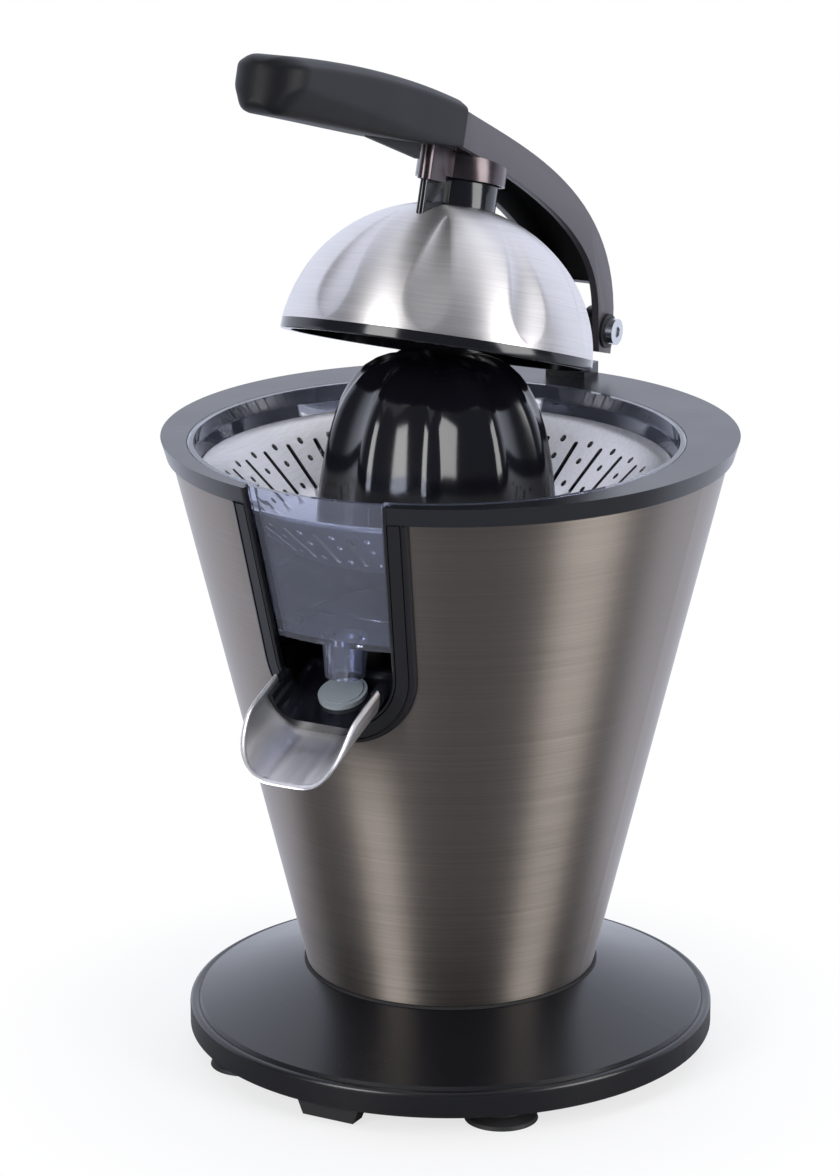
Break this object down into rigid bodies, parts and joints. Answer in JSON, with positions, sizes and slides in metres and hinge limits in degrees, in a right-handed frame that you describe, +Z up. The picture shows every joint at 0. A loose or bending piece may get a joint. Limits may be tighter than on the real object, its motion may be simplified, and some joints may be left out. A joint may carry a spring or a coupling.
{
  "type": "citrus press juicer",
  "caption": "Electric lever citrus press: steel body on a round black base, clear bowl with chute and tilting spout, sieve, fluted cone and a hinged arm with a domed press.",
  "frame": {"origin": "centre of the whole press's outline, on the worktop", "axes": "+Z up, -Y to the front with the spout and the lever's grip, +X to the right seen from behind"},
  "size_m": [0.22, 0.2592, 0.411],
  "materials": {
    "black_satin": "satin moulded black",
    "black_gloss": "polished moulded black",
    "body_steel": "fine brushed round the cone",
    "bright_steel": "brushed stainless",
    "dark_steel": "dark brushed stainless",
    "clear_plastic": "clear polished plastic",
    "arm_paint": "satin metallic grey",
    "grip_plastic": "fine textured charcoal",
    "rubber_black": "soft matt",
    "silicone_grey": "soft translucent",
    "zinc": "plated, machined",
    "bronze": "sintered",
    "gear_nylon": "natural moulded",
    "laminated_iron": "stacked sheet",
    "copper_wire": "lacquered copper",
    "switch_plastic": "moulded",
    "button_red": "moulded"
  },
  "bodies": {
    "stand": {"base_cover": "black_satin", "base_plate": "black_satin", "suction_feet": "rubber_black", "front_pad": "rubber_black", "base_screws": "zinc", "cord_gland": "rubber_black", "foot_gasket": "rubber_black", "body_shell": "body_steel", "bowl_jacket": "black_satin", "bowl_carrier": "black_satin", "spout_bay": "black_satin", "chute_frame": "black_satin", "rim_ring": "black_satin", "rim_screws": "zinc", "hinge_post": "black_satin", "post_screws": "zinc", "pivot_bush": "bronze", "clear_bowl": "clear_plastic", "sieve": "bright_steel", "shaft_seal": "rubber_black", "shaft_bushes": "bronze", "gearbox_plate": "zinc", "gearbox_screws": "zinc", "idler_pin": "zinc", "motor_brackets": "zinc", "motor_screws": "zinc", "motor_bearings": "bronze", "stator": "laminated_iron", "windings": "copper_wire", "thrust_guide": "gear_nylon", "press_spring": "zinc", "microswitch": "switch_plastic", "spout_pin": "zinc"},
    "lever": {"arm": "arm_paint", "holder_block": "zinc", "grip": "grip_plastic", "grip_screws": "zinc", "pivot_bolt": "bright_steel", "pivot_washers": "rubber_black", "support_rib": "black_gloss", "dome_sleeve": "dark_steel", "guide_bolt": "zinc", "dome_spring": "zinc"},
    "dome": {"dome_stem": "black_gloss", "dome_shell": "bright_steel", "dome_lip": "black_gloss", "dome_liner": "black_gloss", "dome_screws": "zinc"},
    "press": {"thrust_cup": "gear_nylon"},
    "cone": {"drive_shaft": "zinc", "reamer": "black_gloss"},
    "output": {"output_gear": "gear_nylon"},
    "idler": {"idler_gear": "gear_nylon"},
    "motor": {"rotor": "laminated_iron", "motor_shaft": "zinc", "cooling_fan": "switch_plastic"},
    "switch": {"switch_button": "button_red"},
    "spout": {"spout_carrier": "black_satin", "spout_shell": "bright_steel", "valve_disc": "silicone_grey"}
  },
  "joints": [
    {"name": "arm_hinge", "type": "hinge", "parent": "stand", "child": "lever", "pos_m": [0, 0.12222, 0.2638], "axis": [-1, 0, 0], "range_deg": [-17.6, 45]},
    {"name": "dome_float", "type": "slide", "parent": "lever", "child": "dome", "axis": [0, 0.3024, 0.9532], "range_m": [0, 0.004], "stiffness_N_per_m": 2000, "springref_m": -0.015, "deforming": ["dome_spring"]},
    {"name": "press_slide", "type": "slide", "parent": "stand", "child": "press", "axis": [0, 0, 1], "range_m": [-0.0025, 0], "stiffness_N_per_m": 3000, "springref_m": 0.004, "deforming": ["press_spring"]},
    {"name": "cone_spin", "type": "hinge", "parent": "press", "child": "cone", "pos_m": [0, 0.00382, 0.214], "axis": [0, 0, 1], "continuous": true},
    {"name": "output_spin", "type": "hinge", "parent": "stand", "child": "output", "pos_m": [0, 0.00382, 0.153], "axis": [0, 0, 1], "continuous": true},
    {"name": "idler_spin", "type": "hinge", "parent": "stand", "child": "idler", "pos_m": [0.028, 0.02482, 0.142], "axis": [0, 0, 1], "continuous": true},
    {"name": "motor_spin", "type": "hinge", "parent": "stand", "child": "motor", "pos_m": [0.004, 0.04282, 0.097], "axis": [0, 0, 1], "continuous": true},
    {"name": "switch_slide", "type": "slide", "parent": "stand", "child": "switch", "axis": [0, 0, 1], "range_m": [-0.0025, 0]},
    {"name": "spout_hinge", "type": "hinge", "parent": "stand", "child": "spout", "pos_m": [0, -0.05548, 0.1633], "axis": [-1, 0, 0], "range_deg": [0, 21]}
  ],
  "couplings": [
    {"joint": "output_spin", "follows": "cone_spin", "ratio": 1},
    {"joint": "idler_spin", "follows": "cone_spin", "ratio": -3.6667},
    {"joint": "motor_spin", "follows": "cone_spin", "ratio": 18.333},
    {"joint": "switch_slide", "follows": "press_slide", "ratio": 1}
  ]
}
